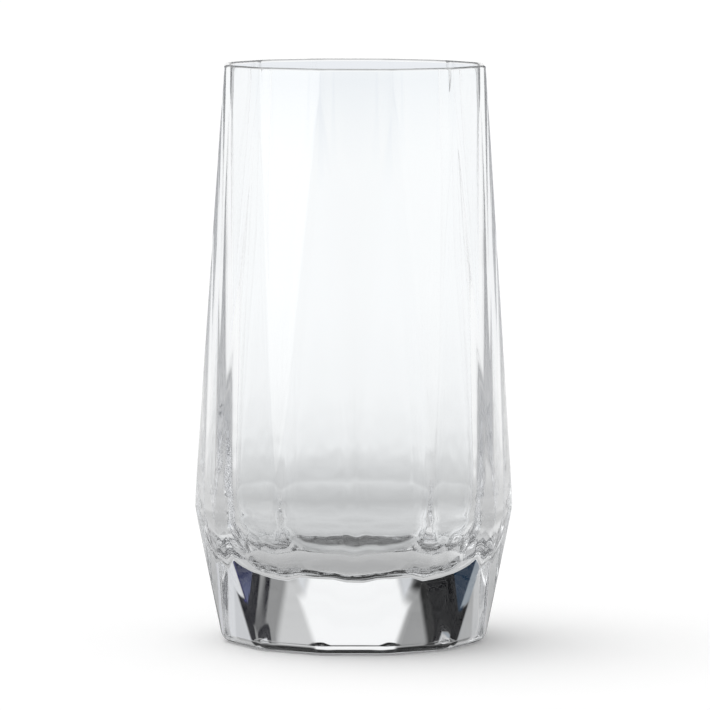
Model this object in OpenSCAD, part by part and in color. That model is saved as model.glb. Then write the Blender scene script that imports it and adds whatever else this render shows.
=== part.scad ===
// Tall faceted tumbler: one mass of clear glass in two gathers, a thin-walled bowl on a heavy solid base.
// Three rings of corners shape the outside: the rim, the shoulder (the widest line) and the foot.
// Each ring is turned half a facet from the next, so every outer face is a long flat triangle.
// The edges between the faces are fire-polished: soft at the rim and softer towards the foot.
// The inside is a plain round cavity with a wide rounded heel.
// The axis is Z, the resting face lies at Z = 0, and shoulder corners lie on +X and on -Y.

/* [Overall] */
// Height from the resting face to the top of the rim
height = 146; // [110:1:180]
// Number of corners in each ring
facets = 12; // [10:1:16]

/* [Outside] */
// Radius from the axis to a corner of the shoulder, the widest line
shoulder_corner_r = 40.3; // [36:0.1:46]
// Height of the shoulder above the resting face
shoulder_h = 33.9; // [28:0.1:50]
// How much narrower the rim is than the shoulder, on the corner radius
rim_taper = 6.4; // [3:0.1:9]
// How much narrower the foot is than the shoulder, on the corner radius
foot_taper = 5.8; // [3:0.1:10]

/* [Softened edges] */
// Rounding of the corners of the rim, seen from above
rim_soften = 3.4; // [2:0.1:6]
// Rounding of the corners of the shoulder, seen from above and from the side
shoulder_soften = 5.6; // [2:0.1:8]
// Rounding of the corners of the foot, seen from above
foot_soften = 8.2; // [4:0.1:12]
// Rounding of the edge between the foot's faces and its resting face
foot_round = 3; // [0.5:0.1:4]

/* [Cavity] */
// Wall thickness at the rim, in the middle of a face
rim_wall = 1.4; // [1:0.1:3]
// How much narrower the cavity is at its heel than at the mouth, on the radius
cavity_draft = 0.8; // [0:0.1:3]
// Radius of the rounded heel between the cavity's wall and its floor
heel_r = 18; // [6:0.5:20]

/* [Glass under the cavity] */
// Height of the solid base, up to the seam between the two gathers
base_h = 16.5; // [10:0.5:24]
// Thickness of the bowl's own glass under the cavity's floor
bowl_floor = 2; // [1:0.5:5]

/* [Hidden] */

// Names of the rings' turns, in half facets
on_corner = 0;
half_turned = 1;

// Angle between neighbouring corners of a ring
facet_angle = 360 / facets;
rim_corner_r = shoulder_corner_r - rim_taper;
foot_corner_r = shoulder_corner_r - foot_taper;
// Reach of the rim's flat faces from the axis, in the middle of a face
rim_face_r = (rim_corner_r - rim_soften) * cos(facet_angle / 2) + rim_soften;
// The lip is a half round across the wall
lip_r = rim_wall / 2;
lip_h = height - lip_r;
mouth_r = rim_face_r - rim_wall;
heel_wall_r = mouth_r - cavity_draft;
floor_h = base_h + bowl_floor;
heel_top_h = floor_h + heel_r;

// Overrun of every cut
over = 1;
// Reach of the blocks that split the glass at the seam
split_r = shoulder_corner_r + over;
edge_fn = 24;
corner_fn = 48;
cavity_fn = 96;

// A rounded disc for one corner: corner_r is its radius from above, edge_r the rounding of its edge.
module bead(corner_r, edge_r) {
    rotate_extrude($fn = corner_fn)
        intersection() {
            union() {
                translate([corner_r - edge_r, 0])
                    circle(edge_r, $fn = edge_fn);
                translate([0, -edge_r])
                    square([corner_r - edge_r, 2 * edge_r]);
            }
            translate([0, -edge_r])
                square([corner_r, 2 * edge_r]);
        }
}

// One ring of corner beads, whose outermost points lie at ring_r.
module bead_ring(ring_r, z, corner_r, edge_r, turn) {
    for (i = [0:facets - 1])
        rotate(facet_angle * (i + turn / 2))
            translate([ring_r - corner_r, 0, z])
                bead(corner_r, edge_r);
}

// The whole outside: long flat triangles between the three rings.
module outside() {
    hull() {
        bead_ring(rim_corner_r, lip_h, rim_soften, lip_r, half_turned);
        bead_ring(shoulder_corner_r, shoulder_h, shoulder_soften, shoulder_soften, on_corner);
        bead_ring(foot_corner_r, foot_round, foot_soften, foot_round, half_turned);
    }
}

// The round heel that joins the cavity's floor to its wall.
module heel() {
    rotate_extrude($fn = cavity_fn)
        union() {
            translate([0, floor_h])
                square([heel_wall_r - heel_r, heel_r]);
            intersection() {
                translate([heel_wall_r - heel_r, heel_top_h])
                    circle(heel_r, $fn = cavity_fn);
                translate([0, floor_h])
                    square([heel_wall_r, heel_r]);
            }
        }
}

// What is cut away above the rounded inner edge of the lip.
module lip_cut() {
    rotate_extrude($fn = cavity_fn)
        difference() {
            translate([0, lip_h])
                square([mouth_r + lip_r, lip_r + over]);
            translate([mouth_r + lip_r, lip_h])
                circle(lip_r, $fn = cavity_fn);
        }
}

// The space for the drink.
module cavity() {
    heel();
    translate([0, 0, heel_top_h])
        cylinder(h = lip_h - heel_top_h, r1 = heel_wall_r, r2 = mouth_r, $fn = cavity_fn);
    lip_cut();
}

// A block from z1 to z2 that is wider than the glass.
module slab(z1, z2) {
    translate([-split_r, -split_r, z1])
        cube([2 * split_r, 2 * split_r, z2 - z1]);
}

// The upper gather: the faceted wall with the cavity and its floor.
module bowl() {
    color([0.86, 0.93, 0.95, 0.4])
        difference() {
            intersection() {
                outside();
                slab(base_h, height + over);
            }
            cavity();
        }
}

// The lower gather: the solid foot that gives the tumbler its weight.
module base() {
    color([0.8, 0.9, 0.93, 0.5])
        intersection() {
            outside();
            slab(-over, base_h);
        }
}

bowl();
base();
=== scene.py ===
# Tall faceted tumbler of clear glass: its visible glass, the table, the studio and the camera.
# Lengths are in metres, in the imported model's own frame: Z up, the foot on Z = 0, and the
# photographed side facing -Y. Screen tones are those of the render, where 255 is white.
import math

import bpy
import numpy as np
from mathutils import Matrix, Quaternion, Vector, noise


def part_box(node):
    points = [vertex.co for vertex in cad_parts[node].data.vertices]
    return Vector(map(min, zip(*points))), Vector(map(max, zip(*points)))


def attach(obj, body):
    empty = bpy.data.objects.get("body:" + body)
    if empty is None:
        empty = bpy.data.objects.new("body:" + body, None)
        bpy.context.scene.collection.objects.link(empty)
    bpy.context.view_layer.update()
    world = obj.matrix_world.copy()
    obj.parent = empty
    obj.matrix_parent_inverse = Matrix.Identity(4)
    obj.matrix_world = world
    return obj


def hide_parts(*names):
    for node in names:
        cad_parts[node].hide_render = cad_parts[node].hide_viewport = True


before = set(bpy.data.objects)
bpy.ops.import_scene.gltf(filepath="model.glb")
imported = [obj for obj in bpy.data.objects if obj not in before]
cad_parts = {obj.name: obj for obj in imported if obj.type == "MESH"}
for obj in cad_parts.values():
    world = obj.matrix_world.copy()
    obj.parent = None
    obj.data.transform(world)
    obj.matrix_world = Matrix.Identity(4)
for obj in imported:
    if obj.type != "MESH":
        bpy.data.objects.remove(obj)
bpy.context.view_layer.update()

MM = 0.001

# ---- Camera, fitted to the corners of the rim, the shoulder and the foot ----

IMAGE_W = 710
CAMERA_DISTANCE = 1445.6 * MM
CAMERA_HEIGHT = 204.35 * MM
CAMERA_PITCH = 0.0912
CAMERA_TURN = 0.0122
CAMERA_ROLL = 0.0023
CAMERA_CLIP = 10.0 * MM
FOCAL_PX = 5724.3
CENTRE_PX = 354.05
SENSOR_MM = 36.0

# ---- Sizes of the glass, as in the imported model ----

FACETS = 12
HALF_FACET = math.pi / FACETS
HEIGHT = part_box("bowl")[1][2]
BASE_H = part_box("base")[1][2]
SHOULDER_CORNER_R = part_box("bowl")[1][0]
SHOULDER_H = 33.9 * MM
RIM_CORNER_R = SHOULDER_CORNER_R - 6.4 * MM
FOOT_CORNER_R = SHOULDER_CORNER_R - 5.8 * MM
RIM_SOFTEN = 3.4 * MM
SHOULDER_SOFTEN = 5.6 * MM
FOOT_SOFTEN = 8.2 * MM
FOOT_ROUND = 3.0 * MM
# The foot's faces lean by this angle, reach this radius on the resting face, and run tangent
# into the rounded edge at this height
FOOT_LEAN = math.atan((SHOULDER_CORNER_R - FOOT_CORNER_R) / (SHOULDER_H - FOOT_ROUND))
FOOT_EDGE_R = FOOT_CORNER_R - FOOT_ROUND * (1 + math.tan(FOOT_LEAN) - 1 / math.cos(FOOT_LEAN))
FOOT_TANGENT_H = FOOT_ROUND * (1 - math.sin(FOOT_LEAN))
RIM_WALL = 1.4 * MM
CAVITY_DRAFT = 0.8 * MM
HEEL_R = 18.0 * MM
BOWL_FLOOR = 2.0 * MM
FLOOR_H = BASE_H + BOWL_FLOOR
LIP_R = RIM_WALL / 2
LIP_H = HEIGHT - LIP_R
HEEL_TOP_H = FLOOR_H + HEEL_R
MOUTH_R = (RIM_CORNER_R - RIM_SOFTEN) * math.cos(HALF_FACET) + RIM_SOFTEN - RIM_WALL
HEEL_WALL_R = MOUTH_R - CAVITY_DRAFT

# ---- Finer form of the visible glass ----

# Reach of the shoulder's rounding above and below its corners
SHOULDER_REACH = 0.7 * MM
# Rounding of the wall's crisp edges, and the share of the way up to the rim by which they are
# that crisp
WALL_SOFTEN = 2.8 * MM
WALL_SOFTEN_SHARE = 0.5
# How far the heel's rounding eases into the wall and into the floor
HEEL_EASE = 8.0 * MM
# The cavity is round up to the first height and follows the outer facets from the second one on
ROUND_H = 19.0 * MM
FACETED_H = 40.0 * MM
# Rounding of the cavity's corners to either side, up to FACETED_H and from EVEN_CORNER_H on
HEEL_CORNER = math.radians(4.5)
RIM_CORNER = math.radians(8)
EVEN_CORNER_H = 75.0 * MM
# The cavity's faint waves from pressing: their length round the cavity and up it, and their
# height above WAVE_TOP_H and below WAVE_FULL_H
WAVES = [
    (6.0 * MM, 30.0 * MM, 0.0 * MM, 0.008 * MM),
    (2.6 * MM, 3.6 * MM, 0.0 * MM, 0.032 * MM),
]
WAVE_TOP_H = 75.0 * MM
WAVE_FULL_H = 45.0 * MM

# ---- Fineness of the mesh ----

FACET_COLUMNS = 6
SOFT_COLUMNS = 4
# Least length along a ring that a facet's columns share, also where its tip runs out, and the
# most of it that one softened corner may take
LEAST_SPAN = 1.6 * MM
MOST_SOFT_SHARE = 0.25
FOOT_ROWS = 8
FOOT_EDGE_ROWS = 24
BASE_ROWS = 20
SHOULDER_ROWS = 16
WALL_ROWS = 44
LIP_ROWS = 14
CAVITY_ROWS = 80
HEEL_ROWS = 66
FLOOR_ROWS = 14
# How strongly the cavity's rows crowd towards its heel
ROW_CROWDING = 1.6
# Depth below the lip by which the cavity's columns are evenly spaced
EVEN_DEPTH = 20.0 * MM
# Points over which a rounding is averaged
EASE_SAMPLES = 64
# Step along a ring to the two points that give its slope
NUDGE = 0.01 * MM
# Below this a length counts as nothing
NOTHING = 1e-12

# ---- Glass ----

GLASS_TINT = (0.985, 0.995, 1.0, 1.0)
GLASS_IOR = 1.52
# The colour that the glass lets through with depth, and how strongly it takes the rest
DEPTH_TINT = (0.0, 0.02, 0.08, 1.0)
DEPTH_DENSITY = 1.0
# How much of the lamp's light each surface lets pass to the table, as screen tones by height:
# the solid base turns most of it away
SHADOW_TONES = [
    (0.0, 200), (25.0 * MM, 172), (45.0 * MM, 212), (80.0 * MM, 240), (140.0 * MM, 254),
]
# Fine wear where the foot rubs on tables: the ring's inner and outer radius and the softness of
# its edges, how far up it reaches, its roughness, and the scale and detail of its specks
WEAR_RING = (22.0 * MM, 31.5 * MM, 1.5 * MM)
WEAR_H = 0.1 * MM
WEAR_ROUGHNESS = 0.2
WEAR_SCALE = 1500.0
WEAR_DETAIL = 3.0
# Ripples of the fire-polished surface: how many in a metre across and up, and how deep
RIPPLE_SCALE = (260.0, 260.0, 90.0)
RIPPLE_DETAIL = 1.0
RIPPLE_DEPTH = 0.004 * MM
# Turns that light may take inside the glass
PATH_TURNS = 40

# ---- Table ----

# How far it reaches, and how far below the resting face it lies
TABLE_REACH = 20.0
TABLE_GAP = 0.15 * MM
# Its glowing screen tone as seen through the glass, by distance from the glass's axis: painted
# shade, grey close round the glass and white further out, with a faint blue grey far off
TONE_REACH = 2.0
TABLE_PAINTED_SHADE_TONES = [
    (0.0, 196), (0.012, 180), (0.022, 184), (0.032, 202), (0.045, 218), (0.06, 208), (0.1, 192),
    (0.15, 199), (0.2, 209), (0.25, 219), (0.3, 240), (0.4, 251), (0.6, 255), (0.85, 255),
    (1.0, (250, 251, 252)), (1.2, (241, 243, 246)), (1.5, (236, 238, 242)),
]
# Painted spots on it, likewise: a near-black painted shadow behind the foot and a pale patch of
# painted light beside it; place, half sizes, softness of the edge, screen tone
PAINTED_SPOTS = [
    (0.0, 19.0 * MM, 24.0 * MM, 10.0 * MM, 0.3, 8),
    (43.0 * MM, 18.0 * MM, 16.0 * MM, 28.0 * MM, 0.6, 246),
]
# Painted shade close round the foot, shown only to rays that the glass reflects: reach, softness,
# screen tone
PAINTED_FOOT_SHADE_IN_REFLECTIONS = (0.13, 0.06, 55)

# ---- Studio, as the glass shows it ----

# Screen tones by degrees up, where it has no panel
ROOM_TONES = [
    (0, (236, 238, 242)), (1.5, (232, 234, 238)), (3.5, 210), (15, 214), (30, 210), (50, 180),
    (62, 120), (72, 20), (90, 15),
]
# Panels, each laid over the ones before: from and to in degrees right of straight behind the
# glass, from and to in degrees up, softness of the sides, softness of the ends, screen tone.
# A tone over 255 is brighter than the backdrop.
PANELS = [
    # Soft boxes in front and beside
    (-140, -105, -6, 14, 6, 4, 345),
    (110, 135, -4, 10, 5, 3, 260),
    (-95, -62, 2, 45, 8, 5, 232),
    (39.5, 64, 5, 13, 1, 2, (232, 233, 236)),
    (-58, -38.5, 1, 9, 1.2, 1, (150, 158, 166)),
    # The dark ceiling over the backdrop
    (12, 42, 12, 64, 3, 5, 40),
    (-42, -12, 11, 64, 3, 5, 30),
    (-14, 14, 17, 64, 3, 2, 30),
    # Grey, black and blue flags to the right
    (12, 27, 2.5, 10, 2, 3, 212),
    (20, 34, 2, 10, 3, 2.5, 148),
    (29, 41.5, 1.5, 9, 1.2, 1, (30, 30, 36)),
    (39, 42.5, 2, 6, 1.2, 0.8, (12, 12, 50)),
    (39.3, 40.1, 2.9, 3.6, 0.4, 0.3, (104, 112, 150)),
    (40.5, 41.3, 4.0, 4.9, 0.4, 0.4, (78, 76, 160)),
    (40.2, 40.8, 2.2, 2.7, 0.4, 0.3, (84, 66, 140)),
    (41.2, 42, 3, 3.6, 0.4, 0.3, (60, 92, 150)),
    # Grey, black and teal flags to the left
    (-20, -11, 2.5, 10, 1.5, 2.5, 166),
    (-27, -17, 2, 12, 2, 2, 46),
    (-38.5, -24, 1.5, 9, 1.5, 1, (8, 8, 12)),
    (-39.5, -36.5, 2, 5.5, 0.8, 0.8, (14, 40, 62)),
    (-39.6, -38.6, 2.8, 4.4, 0.5, 0.5, (112, 124, 136)),
    # The white panel straight behind
    (-12, 13, -5, 16, 2.4, 3, 262),
]

# ---- Light on the table: the room's plain light, and the lamp with its angle in degrees ----

AMBIENT = 0.45
LAMP_STRENGTH = 1.97
LAMP_ANGLE = 70.0
LAMP_FROM = (-0.32, 0.15, 1.0)

WHITE = (1.0, 1.0, 1.0, 1.0)


def corner_ring(radius, soften, turned):
    """The sharp corners of a ring whose softened corners reach radius, turned or not."""
    angles = (np.arange(FACETS) + (0.5 if turned else 0.0)) * 2 * HALF_FACET
    sharp = radius + soften * (1 / math.cos(HALF_FACET) - 1)
    return sharp * np.stack([np.cos(angles), np.sin(angles)], axis=1)


def section(low_ring, high_ring, share):
    """The corners of the glass between the shoulder (share 0) and a turned ring (share 1)."""
    corners = []
    for k in range(FACETS):
        after = (k + 1) % FACETS
        corners.append(low_ring[k] * (1 - share) + high_ring[k] * share)
        corners.append(low_ring[after] * (1 - share) + high_ring[k] * share)
    return np.array(corners)


def column_stations(starts, reach):
    """Where the columns lie along a polygon's outline: close at its corners, wider between."""
    lengths = np.diff(starts)
    grown = np.maximum(LEAST_SPAN - lengths, 0) / 2
    firsts = starts[:-1] - grown + np.roll(grown, 1)
    lasts = starts[1:] + grown - np.roll(grown, -1)
    stations = []
    for first, last in zip(firsts, lasts):
        near = min(reach, (last - first) * MOST_SOFT_SHARE)
        middle = last - first - 2 * near
        stations += [first + near * j / SOFT_COLUMNS for j in range(SOFT_COLUMNS)]
        stations += [first + near + middle * j / FACET_COLUMNS for j in range(FACET_COLUMNS)]
        stations += [last - near * (SOFT_COLUMNS - j) / SOFT_COLUMNS for j in range(SOFT_COLUMNS)]
    return np.array(stations)


def softened(corners, reach, shift):
    """Points round a polygon, its corners rounded over reach to either side, moved by shift."""
    following = np.roll(corners, -1, axis=0)
    lengths = np.linalg.norm(following - corners, axis=1)
    total = lengths.sum()
    starts = np.concatenate([[0.0], np.cumsum(lengths)])
    stations = column_stations(starts, reach) + shift

    # The outline, gone round three times, and the area under it: its mean over a stretch is
    # the difference of two areas
    knots = np.concatenate([starts - total, starts[1:], starts[1:] + total])
    ring = np.concatenate([corners, corners[:1]])
    points = np.concatenate([ring, ring[1:], ring[1:]])
    spans = np.diff(knots)[:, None]
    areas = (points[1:] + points[:-1]) / 2 * spans
    area = np.concatenate([[[0.0, 0.0]], np.cumsum(areas, axis=0)])

    def swept(at):
        i = np.clip(np.searchsorted(knots, at, side="right") - 1, 0, len(spans) - 1)
        part = (at - knots[i])[:, None]
        slope = (points[i + 1] - points[i]) / np.maximum(spans[i], NOTHING)
        return area[i] + points[i] * part + slope * part ** 2 / 2

    return (swept(stations + reach) - swept(stations - reach)) / (2 * reach)


def outside_ring(height, shift):
    """The ring of points round the outside at a height, without the shoulder's rounding."""
    shoulder = corner_ring(SHOULDER_CORNER_R, SHOULDER_SOFTEN, False)
    if height >= SHOULDER_H:
        share = (height - SHOULDER_H) / (HEIGHT - SHOULDER_H)
        ring = corner_ring(RIM_CORNER_R, RIM_SOFTEN, True)
        below = max(1 - share / WALL_SOFTEN_SHARE, 0.0) ** 2
        soften = WALL_SOFTEN + (SHOULDER_SOFTEN - WALL_SOFTEN) * below
    else:
        share = (SHOULDER_H - height) / SHOULDER_H
        ring = corner_ring(FOOT_EDGE_R, FOOT_SOFTEN, True)
        soften = SHOULDER_SOFTEN + (FOOT_SOFTEN - SHOULDER_SOFTEN) * share
    return softened(section(shoulder, ring, share), soften * math.tan(HALF_FACET), shift)


def level(ring, height):
    """A ring of flat points, lifted to a height."""
    return np.column_stack([ring, np.full(len(ring), height)])


def foot_rows(shift):
    """Rows of the flat resting face and of the rounded edge round it."""
    edge, above = outside_ring(0.0, shift), outside_ring(FOOT_TANGENT_H, shift)
    tangent = FOOT_TANGENT_H / math.cos(FOOT_LEAN)
    inner = edge * (1 - tangent / np.linalg.norm(edge, axis=1))[:, None]
    rows = [level(inner * j / FOOT_ROWS, 0.0) for j in range(1, FOOT_ROWS)]
    pull = math.sin((math.pi / 2 + FOOT_LEAN) / 2)
    for j in range(FOOT_EDGE_ROWS):
        s = j / FOOT_EDGE_ROWS
        a, b, c = (1 - s) ** 2, 2 * s * (1 - s) * pull, s ** 2
        ring = (a * inner + b * edge + c * above) / (a + b + c)
        rows.append(level(ring, c * FOOT_TANGENT_H / (a + b + c)))
    return rows


def outside_rows(shift):
    """Rows of the outside, from above the foot's rounded edge to the lip."""
    low, high = SHOULDER_H - SHOULDER_REACH, SHOULDER_H + SHOULDER_REACH
    middle = outside_ring(SHOULDER_H, shift)
    below = (middle - outside_ring(low, shift)) / SHOULDER_REACH
    above = (outside_ring(high, shift) - middle) / SHOULDER_REACH
    rows = []
    for h in np.linspace(FOOT_TANGENT_H, low, BASE_ROWS, endpoint=False):
        rows.append(level(outside_ring(h, shift), h))
    for h in np.linspace(low, high, SHOULDER_ROWS, endpoint=False):
        bend = above * (h - low) ** 2 - below * (h - high) ** 2
        rows.append(level(middle + bend / (4 * SHOULDER_REACH), h))
    for h in np.linspace(high, LIP_H, WALL_ROWS + 1):
        rows.append(level(outside_ring(h, shift), h))
    return rows


def cavity_profile():
    """Radius and height of the cavity's rows, down the wall and round the heel to the floor."""
    wall = math.hypot(HEEL_WALL_R - MOUTH_R, HEEL_TOP_H - LIP_H)
    bend = HEEL_R * math.pi / 2
    floor = HEEL_WALL_R - HEEL_R
    wall_shares = 1 - (1 - np.arange(CAVITY_ROWS) / CAVITY_ROWS) ** ROW_CROWDING
    stations = np.concatenate([wall * wall_shares,
                               wall + bend * np.arange(HEEL_ROWS) / HEEL_ROWS,
                               wall + bend + floor * np.arange(FLOOR_ROWS) / FLOOR_ROWS])
    spread = stations[:, None] - wall + HEEL_EASE * np.linspace(-1, 1, EASE_SAMPLES)
    above = np.minimum(spread, 0)
    turn = np.clip(spread / HEEL_R, 0, math.pi / 2)
    beyond = np.maximum(spread - bend, 0)
    radii = (HEEL_WALL_R + above * (HEEL_WALL_R - MOUTH_R) / wall
             - HEEL_R * (1 - np.cos(turn)) - beyond)
    heights = HEEL_TOP_H - above * (LIP_H - HEEL_TOP_H) / wall - HEEL_R * np.sin(turn)
    return list(zip(radii.mean(axis=1), heights.mean(axis=1)))


def cavity_reach(angles, radius, height):
    """The cavity's radius by angle: round near its floor, along the facets further up."""
    share = (height - SHOULDER_H) / (HEIGHT - SHOULDER_H)
    shoulder = SHOULDER_CORNER_R + SHOULDER_SOFTEN * (1 / math.cos(HALF_FACET) - 1)
    rim = RIM_CORNER_R + RIM_SOFTEN * (1 / math.cos(HALF_FACET) - 1)
    rising = shoulder * math.cos(HALF_FACET) * (1 - share) + rim * share
    hanging = shoulder * (1 - share) + rim * math.cos(HALF_FACET) * share
    nearest = min(rising, hanging)
    upward = min(max((height - FACETED_H) / (EVEN_CORNER_H - FACETED_H), 0.0), 1.0)
    corner = HEEL_CORNER + (RIM_CORNER - HEEL_CORNER) * upward
    spread = (angles[:, None] + corner * np.linspace(-1, 1, EASE_SAMPLES)) / HALF_FACET
    off_rising = HALF_FACET * np.abs(spread % 2 - 1)
    faces = np.minimum((radius + rising - nearest) / np.cos(off_rising),
                       (radius + hanging - nearest) / np.cos(HALF_FACET - off_rising))
    follow = min(max((height - ROUND_H) / (FACETED_H - ROUND_H), 0.0), 1.0)
    return radius + (faces.mean(axis=1) - radius) * follow * follow * (3 - 2 * follow)


def wave(point, climb):
    """Height of the cavity's waves at a point; climb is 0 well above the heel, 1 near it."""
    total = 0.0
    for around, along, high, low in WAVES:
        where = Vector((point[0] / around, point[1] / around, point[2] / along))
        total += (high + (low - high) * climb) * noise.noise(where)
    return total


def cavity_rows(angles):
    """Rows of the cavity with its waves, from the given angles at the lip to even ones below."""
    rows = []
    profile = cavity_profile()
    count = len(angles)
    even = angles.mean() + (np.arange(count) - (count - 1) / 2) * 2 * math.pi / count
    for i, (radius, height) in enumerate(profile):
        r0, h0 = profile[max(i - 1, 0)]
        r1, h1 = profile[min(i + 1, len(profile) - 1)]
        along = Vector((r1 - r0, h1 - h0)).normalized()
        climb = min(max((WAVE_TOP_H - height) / (WAVE_TOP_H - WAVE_FULL_H), 0.0), 1.0)
        spread = angles + (even - angles) * min((LIP_H - height) / EVEN_DEPTH, 1.0)
        direction = np.stack([np.cos(spread), np.sin(spread)], axis=1)
        flat = direction * cavity_reach(spread, radius, height)[:, None]
        lift = np.array([wave((x, y, height), climb) for x, y in flat])
        flat = flat + direction * (lift * along[1])[:, None]
        rows.append(np.column_stack([flat, height - lift * along[0]]))
    return rows


def glass_grid(shift):
    """All rows of the closed glass, each of its points moved by shift along its ring."""
    rows = foot_rows(shift) + outside_rows(shift)
    outer = rows[-1][:, :2]
    angles = np.unwrap(np.arctan2(outer[:, 1], outer[:, 0]))
    direction = np.stack([np.cos(angles), np.sin(angles)], axis=1)
    inner = cavity_reach(angles, MOUTH_R, LIP_H)[:, None] * direction
    for j in range(1, LIP_ROWS):
        turn = math.pi * j / LIP_ROWS
        ring = (outer + inner) / 2 + (outer - inner) / 2 * math.cos(turn)
        rows.append(level(ring, LIP_H + LIP_R * math.sin(turn)))
    return np.array(rows + cavity_rows(angles))


def surface_normals(grid, along, first_middle, last_middle):
    """The normal at each point, from the slope along its ring and the step across it."""
    ends = [np.broadcast_to(middle, grid[:1].shape) for middle in (first_middle, last_middle)]
    stacked = np.concatenate([ends[0], grid, ends[1]])
    normals = np.cross(along, stacked[2:] - stacked[:-2]).reshape(-1, 3)
    return normals / np.linalg.norm(normals, axis=1)[:, None]


def closed_mesh(name, grid, along, first_middle, last_middle):
    """A closed mesh of rings of points, with a middle point at each end and smooth normals."""
    rows, columns, _ = grid.shape
    points = np.concatenate([grid.reshape(-1, 3), [first_middle, last_middle]])
    first, last = rows * columns, rows * columns + 1
    faces = []
    for c in range(columns):
        d = (c + 1) % columns
        faces.append((first, d, c))
        faces.append((last, (rows - 1) * columns + c, (rows - 1) * columns + d))
    for r in range(rows - 1):
        low, high = r * columns, (r + 1) * columns
        for c in range(columns):
            d = (c + 1) % columns
            faces.append((low + c, low + d, high + d, high + c))
    mesh = bpy.data.meshes.new(name)
    mesh.from_pydata(points.tolist(), [], faces)
    mesh.validate()
    mesh.shade_smooth()
    normals = surface_normals(grid, along, first_middle, last_middle)
    normals = np.concatenate([normals, [(0, 0, -1), (0, 0, 1)]])
    mesh.normals_split_custom_set_from_vertices(normals.tolist())
    piece = bpy.data.objects.new(name, mesh)
    bpy.context.scene.collection.objects.link(piece)
    return piece


def new_material(name):
    """An empty node material, with its nodes, its links and its output."""
    material = bpy.data.materials.new(name)
    material.use_nodes = True
    nodes, links = material.node_tree.nodes, material.node_tree.links
    nodes.clear()
    return material, nodes, links, nodes.new("ShaderNodeOutputMaterial")


def maths(nodes, links, operation, *values):
    """A Math node whose inputs are sockets or numbers; gives its output socket."""
    node = nodes.new("ShaderNodeMath")
    node.operation = operation
    for socket, value in zip(node.inputs, values):
        if isinstance(value, (int, float)):
            socket.default_value = value
        else:
            links.new(value, socket)
    return node.outputs[0]


def vector_length(nodes, links, vector):
    """The length of a vector socket."""
    node = nodes.new("ShaderNodeVectorMath")
    node.operation = "LENGTH"
    links.new(vector, node.inputs[0])
    return node.outputs["Value"]


def noise_texture(nodes, links, vector, scale, detail):
    """Noise from 0 to 1 over a vector socket."""
    node = nodes.new("ShaderNodeTexNoise")
    node.inputs["Scale"].default_value = scale
    node.inputs["Detail"].default_value = detail
    links.new(vector, node.inputs["Vector"])
    return node.outputs["Fac"]


def mixed(nodes, links, share, first, second):
    """The first shader where share is 0 and the second where it is 1."""
    node = nodes.new("ShaderNodeMixShader")
    links.new(share, node.inputs["Fac"])
    links.new(first, node.inputs[1])
    links.new(second, node.inputs[2])
    return node.outputs["Shader"]


def colour(tone):
    """A linear colour from a screen tone, or from three of them, by the sRGB curve."""
    tones = tone if isinstance(tone, tuple) else (tone, tone, tone)
    shares = [t / 255 for t in tones]
    linear = [s / 12.92 if s <= 0.04045 else ((s + 0.055) / 1.055) ** 2.4 for s in shares]
    return (*linear, 1.0)


def ramp(nodes, links, value, stops):
    """A colour ramp over value, with (position, screen tone) stops; gives its colour socket."""
    node = nodes.new("ShaderNodeValToRGB")
    elements = node.color_ramp.elements
    while len(elements) > 1:
        elements.remove(elements[-1])
    for i, (position, tone) in enumerate(stops):
        element = elements[0] if i == 0 else elements.new(position)
        element.position = position
        element.color = colour(tone)
    links.new(value, node.inputs["Fac"])
    return node.outputs["Color"]


def painted(nodes, links, below, share, tone):
    """A colour socket with a screen tone laid over it by a share from 0 to 1."""
    node = nodes.new("ShaderNodeMix")
    node.data_type = "RGBA"
    links.new(share, node.inputs["Factor"])
    links.new(below, node.inputs[6])
    node.inputs[7].default_value = colour(tone)
    return node.outputs[2]


def fade(nodes, links, value, edge, soft, falling=False):
    """0 below an edge and 1 above it, or the other way round, smooth over soft to each side."""
    node = nodes.new("ShaderNodeMapRange")
    node.interpolation_type = "SMOOTHSTEP"
    links.new(value, node.inputs["Value"])
    node.inputs["From Min"].default_value = edge - soft
    node.inputs["From Max"].default_value = edge + soft
    node.inputs["To Min"].default_value = 1.0 if falling else 0.0
    node.inputs["To Max"].default_value = 0.0 if falling else 1.0
    return node.outputs["Result"]


def inside(nodes, links, value, low, high, soft):
    """1 where value lies between low and high, with soft ends."""
    return maths(nodes, links, "MULTIPLY", fade(nodes, links, value, low, soft),
                 fade(nodes, links, value, high, soft, falling=True))


def seen_by_glass(nodes, links, path):
    """1 for rays that left the glass by refraction or reflection, from a Light Path node."""
    return maths(nodes, links, "MAXIMUM", path.outputs["Is Transmission Ray"],
                 path.outputs["Is Glossy Ray"])


def wear(nodes, links, place, height):
    """The roughness of the foot's worn ring, from the sockets of the place and its height."""
    flat = nodes.new("ShaderNodeVectorMath")
    flat.operation = "MULTIPLY"
    flat.inputs[1].default_value = (1.0, 1.0, 0.0)
    links.new(place, flat.inputs[0])
    distance = vector_length(nodes, links, flat.outputs["Vector"])
    specks = noise_texture(nodes, links, place, WEAR_SCALE, WEAR_DETAIL)
    ring = inside(nodes, links, distance, *WEAR_RING)
    low = fade(nodes, links, height, WEAR_H, WEAR_H / 2, falling=True)
    worn = maths(nodes, links, "MULTIPLY", maths(nodes, links, "MULTIPLY", ring, low), specks)
    return maths(nodes, links, "MULTIPLY", worn, WEAR_ROUGHNESS)


def ripples(nodes, links, place):
    """The normal of the rippled surface, from the socket of the place."""
    stretch = nodes.new("ShaderNodeMapping")
    stretch.inputs["Scale"].default_value = RIPPLE_SCALE
    links.new(place, stretch.inputs["Vector"])
    bump = nodes.new("ShaderNodeBump")
    bump.inputs["Strength"].default_value = 1.0
    bump.inputs["Distance"].default_value = RIPPLE_DEPTH
    links.new(noise_texture(nodes, links, stretch.outputs["Vector"], 1.0, RIPPLE_DETAIL),
              bump.inputs["Height"])
    return bump.outputs["Normal"]


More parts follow.
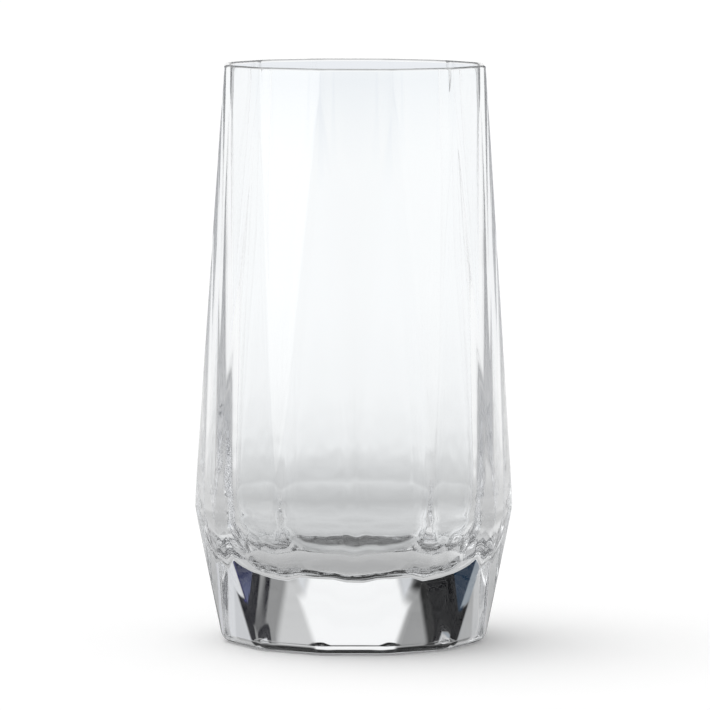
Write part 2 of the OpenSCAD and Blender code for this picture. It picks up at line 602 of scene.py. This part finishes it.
def clear_glass():
    """Polished clear glass, which lets the lamp's light pass to the table."""
    material, nodes, links, output = new_material("clear_glass")
    coordinates = nodes.new("ShaderNodeTexCoord")
    place = coordinates.outputs["Object"]
    split = nodes.new("ShaderNodeSeparateXYZ")
    links.new(place, split.inputs[0])
    height = split.outputs["Z"]

    shader = nodes.new("ShaderNodeBsdfPrincipled")
    shader.inputs["Base Color"].default_value = GLASS_TINT
    shader.inputs["IOR"].default_value = GLASS_IOR
    shader.inputs["Transmission Weight"].default_value = 1.0
    links.new(wear(nodes, links, place, height), shader.inputs["Roughness"])
    links.new(ripples(nodes, links, place), shader.inputs["Normal"])

    clear = nodes.new("ShaderNodeBsdfTransparent")
    share = maths(nodes, links, "DIVIDE", height, HEIGHT)
    stops = [(h / HEIGHT, tone) for h, tone in SHADOW_TONES]
    links.new(ramp(nodes, links, share, stops), clear.inputs["Color"])
    path = nodes.new("ShaderNodeLightPath")
    links.new(mixed(nodes, links, path.outputs["Is Shadow Ray"], shader.outputs["BSDF"],
                    clear.outputs["BSDF"]), output.inputs["Surface"])

    depth = nodes.new("ShaderNodeVolumeAbsorption")
    depth.inputs["Color"].default_value = DEPTH_TINT
    depth.inputs["Density"].default_value = DEPTH_DENSITY
    links.new(depth.outputs["Volume"], output.inputs["Volume"])
    return material


def tumbler():
    """The visible glass. It stands for both nodes, as no surface lies between them."""
    along = glass_grid(NUDGE) - glass_grid(-NUDGE)
    floor_middle = (0.0, 0.0, FLOOR_H + wave((0.0, 0.0, FLOOR_H), 1.0))
    glass = closed_mesh("tumbler_glass", glass_grid(0.0), along, (0.0, 0.0, 0.0), floor_middle)
    glass.data.materials.append(clear_glass())
    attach(glass, "tumbler")
    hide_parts("bowl", "base")


def camera():
    """The camera at the photograph's viewing angle."""
    data = bpy.data.cameras.new("camera")
    data.sensor_width = SENSOR_MM
    data.lens = FOCAL_PX / IMAGE_W * SENSOR_MM
    data.clip_start = CAMERA_CLIP
    view = bpy.data.objects.new("camera", data)
    bpy.context.scene.collection.objects.link(view)
    yaw = -CAMERA_TURN - (IMAGE_W / 2 - CENTRE_PX) / FOCAL_PX
    turn = Quaternion((0, 0, 1), yaw) @ Quaternion((1, 0, 0), math.pi / 2 - CAMERA_PITCH)
    turn = turn @ Quaternion((0, 0, 1), CAMERA_ROLL)
    view.location = (-CAMERA_DISTANCE * math.sin(CAMERA_TURN),
                     -CAMERA_DISTANCE * math.cos(CAMERA_TURN), CAMERA_HEIGHT)
    view.rotation_euler = turn.to_euler()
    view.matrix_world = view.matrix_basis
    bpy.context.scene.camera = view


def table_painted_light(nodes, links, path):
    """The colour socket of the table as the glass shows it: painted shade round the glass,
    painted spots of shadow and light, and painted shade round the foot in its reflections.
    """
    coordinates = nodes.new("ShaderNodeTexCoord")
    place = coordinates.outputs["Object"]
    distance = vector_length(nodes, links, place)
    share = maths(nodes, links, "DIVIDE", distance, TONE_REACH)
    tones = ramp(nodes, links, share, [(r / TONE_REACH, tone) for r, tone in TABLE_PAINTED_SHADE_TONES])
    # Painted spots of shadow and light, glowing for rays from the glass
    for x, y, half_x, half_y, soft, tone in PAINTED_SPOTS:
        painted_spot = nodes.new("ShaderNodeMapping")
        painted_spot.vector_type = "TEXTURE"
        painted_spot.inputs["Location"].default_value = (x, y, 0.0)
        painted_spot.inputs["Scale"].default_value = (half_x, half_y, 1.0)
        links.new(place, painted_spot.inputs["Vector"])
        spread = vector_length(nodes, links, painted_spot.outputs["Vector"])
        near = fade(nodes, links, spread, 1.0, soft, falling=True)
        tones = painted(nodes, links, tones, near, tone)
    # Painted shade round the foot, seen only in the glass's reflections
    reach, soft, tone = PAINTED_FOOT_SHADE_IN_REFLECTIONS
    near = fade(nodes, links, distance, reach, soft, falling=True)
    near = maths(nodes, links, "MULTIPLY", near, path.outputs["Is Reflection Ray"])
    return painted(nodes, links, tones, near, tone)


def studio_floor():
    """A white table that keeps the glass's shadow, and glows with painted shade and light for
    rays from the glass.
    """
    mesh = bpy.data.meshes.new("floor")
    corners = [(-1, -1), (1, -1), (1, 1), (-1, 1)]
    mesh.from_pydata([(x * TABLE_REACH, y * TABLE_REACH, -TABLE_GAP) for x, y in corners], [],
                     [(0, 1, 2, 3)])
    floor = bpy.data.objects.new("floor", mesh)
    bpy.context.scene.collection.objects.link(floor)
    material, nodes, links, output = new_material("floor")
    path = nodes.new("ShaderNodeLightPath")
    # A glow that carries the painted shade and light which the glass shows
    glow = nodes.new("ShaderNodeEmission")
    links.new(table_painted_light(nodes, links, path), glow.inputs["Color"])
    white = nodes.new("ShaderNodeBsdfDiffuse")
    white.inputs["Color"].default_value = WHITE
    links.new(mixed(nodes, links, seen_by_glass(nodes, links, path), white.outputs["BSDF"],
                    glow.outputs["Emission"]), output.inputs["Surface"])
    mesh.materials.append(material)


def studio_tones(nodes, links):
    """The colour socket of the room and its panels."""
    coordinates = nodes.new("ShaderNodeTexCoord")
    split = nodes.new("ShaderNodeSeparateXYZ")
    links.new(coordinates.outputs["Generated"], split.inputs[0])
    across = maths(nodes, links, "ARCTAN2", split.outputs["X"], split.outputs["Y"])
    across = maths(nodes, links, "DEGREES", across)
    up = maths(nodes, links, "DEGREES", maths(nodes, links, "ARCSINE", split.outputs["Z"]))
    share = maths(nodes, links, "DIVIDE", up, 90.0)
    tones = ramp(nodes, links, share, [(degrees / 90, tone) for degrees, tone in ROOM_TONES])
    for left, right, low, high, side_soft, end_soft, tone in PANELS:
        sides = inside(nodes, links, across, left, right, side_soft)
        ends = inside(nodes, links, up, low, high, end_soft)
        tones = painted(nodes, links, tones, maths(nodes, links, "MULTIPLY", sides, ends), tone)
    return tones


def studio_world():
    """White to the camera, plain light for the table, and the studio for the glass."""
    world = bpy.data.worlds.new("studio")
    bpy.context.scene.world = world
    world.use_nodes = True
    nodes, links = world.node_tree.nodes, world.node_tree.links
    nodes.clear()
    output = nodes.new("ShaderNodeOutputWorld")
    path = nodes.new("ShaderNodeLightPath")
    studio = nodes.new("ShaderNodeBackground")
    links.new(studio_tones(nodes, links), studio.inputs["Color"])
    plain = nodes.new("ShaderNodeBackground")
    plain.inputs["Color"].default_value = WHITE
    links.new(maths(nodes, links, "MAXIMUM", path.outputs["Is Camera Ray"], AMBIENT),
              plain.inputs["Strength"])
    links.new(mixed(nodes, links, seen_by_glass(nodes, links, path), plain.outputs["Background"],
                    studio.outputs["Background"]), output.inputs["Surface"])


def key_lamp():
    """A wide soft lamp high at the left, which throws the glass's soft shadow."""
    data = bpy.data.lights.new("key", "SUN")
    data.angle = math.radians(LAMP_ANGLE)
    data.energy = LAMP_STRENGTH
    lamp = bpy.data.objects.new("key", data)
    bpy.context.scene.collection.objects.link(lamp)
    lamp.rotation_euler = Vector(LAMP_FROM).to_track_quat("Z", "Y").to_euler()
    lamp.visible_glossy = False
    lamp.visible_transmission = False


tumbler()
camera()
studio_floor()
studio_world()
key_lamp()

bpy.context.scene.view_settings.view_transform = "Standard"

# Enough turns for the light that the glass walls guide along themselves
cycles = bpy.context.scene.cycles
cycles.max_bounces = PATH_TURNS
cycles.glossy_bounces = PATH_TURNS
cycles.transmission_bounces = PATH_TURNS
